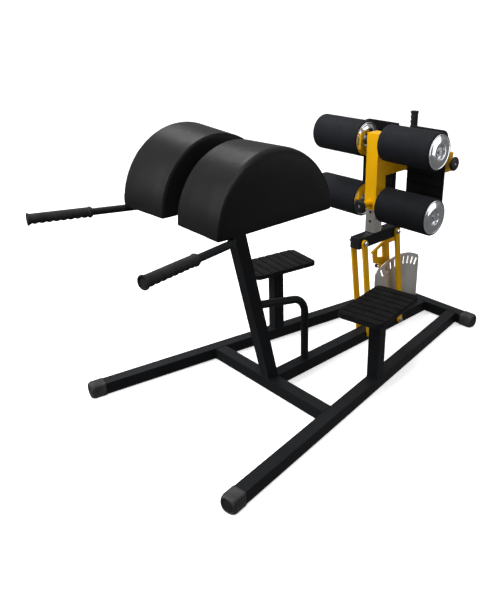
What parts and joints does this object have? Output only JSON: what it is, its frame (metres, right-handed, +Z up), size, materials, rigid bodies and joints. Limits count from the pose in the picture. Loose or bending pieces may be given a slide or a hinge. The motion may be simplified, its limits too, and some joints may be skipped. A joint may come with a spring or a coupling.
{
  "type": "glute ham developer",
  "caption": "Floor-standing glute ham bench: half-round thigh pads on a leaning upright, steps, hand grips, and a swinging ankle roller head with footplates.",
  "frame": {"origin": "centre of the bounding box's bottom face, on the floor", "axes": "+Z up, +Y from the hand grips towards the footplates, +X towards the right-hand grip as seen by someone who faces the hand grips from the footplates"},
  "size_m": [0.9372, 1.8237, 1.0569],
  "materials": {
    "black_paint": "satin black powder coat",
    "yellow_paint": "gloss golden yellow powder coat",
    "polished_steel": "polished steel",
    "zinc_steel": "zinc plated",
    "chrome": "polished",
    "rubber": "matte, ribbed",
    "grip_rubber": "matte, ribbed",
    "pad_cover": "smooth coated upholstery cloth over foam",
    "roller_foam": "matte foam",
    "plywood": "plain plywood",
    "bronze": "machined",
    "black_plastic": "moulded",
    "nylon": "moulded"
  },
  "bodies": {
    "base": {"rail_left": "black_paint", "rail_right": "black_paint", "front_crossbeam": "black_paint", "centre_beam": "black_paint", "rear_crossbar": "black_paint", "end_caps": "rubber", "upright": "black_paint", "brace_tube": "black_paint", "pad_crossbar": "black_paint", "pad_rails": "black_paint", "pad_boards": "plywood", "pad_bolts": "zinc_steel", "pad_left": "pad_cover", "pad_right": "pad_cover", "handle_tube_left": "black_paint", "handle_tube_right": "black_paint", "hand_grip_left": "grip_rubber", "hand_grip_right": "grip_rubber", "step_posts": "black_paint", "step_plates": "black_paint", "step_treads": "rubber", "quadrant_plate": "polished_steel", "lower_pivot_bolts": "zinc_steel"},
    "rear_links": {"rear_link_left": "yellow_paint", "rear_link_right": "yellow_paint", "rear_link_bushes": "bronze", "swing_handle": "yellow_paint", "lock_barrel": "yellow_paint"},
    "lock_pin": {"lock_pin": "zinc_steel", "lock_knob": "black_plastic"},
    "front_links": {"front_link_bars": "yellow_paint", "front_link_bushes": "bronze"},
    "carriage": {"carriage_tube": "black_paint", "carriage_plugs": "black_plastic", "height_post": "polished_steel", "upper_pivot_bolts": "zinc_steel"},
    "head": {"height_sleeve": "yellow_paint", "sleeve_liners": "nylon", "footplate_arm": "yellow_paint", "arm_plug": "black_plastic", "roller_axles": "zinc_steel", "axle_bolts": "zinc_steel", "height_pin_barrel": "yellow_paint"},
    "height_pin": {"height_pin": "zinc_steel", "height_knob": "black_plastic"},
    "roller_upper_left": {"roller_foam_upper_left": "roller_foam", "roller_hub_upper_left": "chrome"},
    "roller_upper_right": {"roller_foam_upper_right": "roller_foam", "roller_hub_upper_right": "chrome"},
    "roller_lower_left": {"roller_foam_lower_left": "roller_foam", "roller_hub_lower_left": "chrome"},
    "roller_lower_right": {"roller_foam_lower_right": "roller_foam", "roller_hub_lower_right": "chrome"},
    "foot_carriage": {"foot_slider": "yellow_paint", "footplates": "black_paint", "foot_treads": "rubber", "foot_grip": "grip_rubber", "cross_tube_plugs": "yellow_paint"},
    "foot_pin": {"foot_pin": "zinc_steel", "foot_knob": "black_plastic"}
  },
  "joints": [
    {"name": "linkage_swing", "type": "hinge", "parent": "base", "child": "rear_links", "pos_m": [0, 0.644, 0.032], "axis": [-1, 0, 0], "range_deg": [-6.4, 44.8]},
    {"name": "front_link_swing", "type": "hinge", "parent": "base", "child": "front_links", "pos_m": [0, 0.421, 0.032], "axis": [-1, 0, 0], "range_deg": [-6.4, 44.8]},
    {"name": "carriage_level", "type": "hinge", "parent": "rear_links", "child": "carriage", "pos_m": [0, 0.581, 0.497], "axis": [-1, 0, 0], "range_deg": [-44.8, 6.4]},
    {"name": "lock_pin_slide", "type": "slide", "parent": "rear_links", "child": "lock_pin", "axis": [1, 0, 0], "range_m": [0, 0.012]},
    {"name": "head_height", "type": "slide", "parent": "carriage", "child": "head", "axis": [0, 0, 1], "range_m": [-0.084, 0.126]},
    {"name": "height_pin_slide", "type": "slide", "parent": "head", "child": "height_pin", "axis": [0, 1, 0], "range_m": [0, 0.012]},
    {"name": "footplate_slide", "type": "slide", "parent": "head", "child": "foot_carriage", "axis": [0, 1, 0], "range_m": [-0.06, 0.06]},
    {"name": "foot_pin_slide", "type": "slide", "parent": "foot_carriage", "child": "foot_pin", "axis": [-1, 0, 0], "range_m": [0, 0.012]},
    {"name": "roller_upper_left_spin", "type": "hinge", "parent": "head", "child": "roller_upper_left", "pos_m": [0, 0.453, 0.92], "axis": [1, 0, 0], "continuous": true},
    {"name": "roller_upper_right_spin", "type": "hinge", "parent": "head", "child": "roller_upper_right", "pos_m": [0, 0.453, 0.92], "axis": [1, 0, 0], "continuous": true},
    {"name": "roller_lower_left_spin", "type": "hinge", "parent": "head", "child": "roller_lower_left", "pos_m": [0, 0.453, 0.656], "axis": [1, 0, 0], "continuous": true},
    {"name": "roller_lower_right_spin", "type": "hinge", "parent": "head", "child": "roller_lower_right", "pos_m": [0, 0.453, 0.656], "axis": [1, 0, 0], "continuous": true}
  ],
  "couplings": [
    {"joint": "front_link_swing", "follows": "linkage_swing", "ratio": 1},
    {"joint": "carriage_level", "follows": "linkage_swing", "ratio": -1}
  ]
}
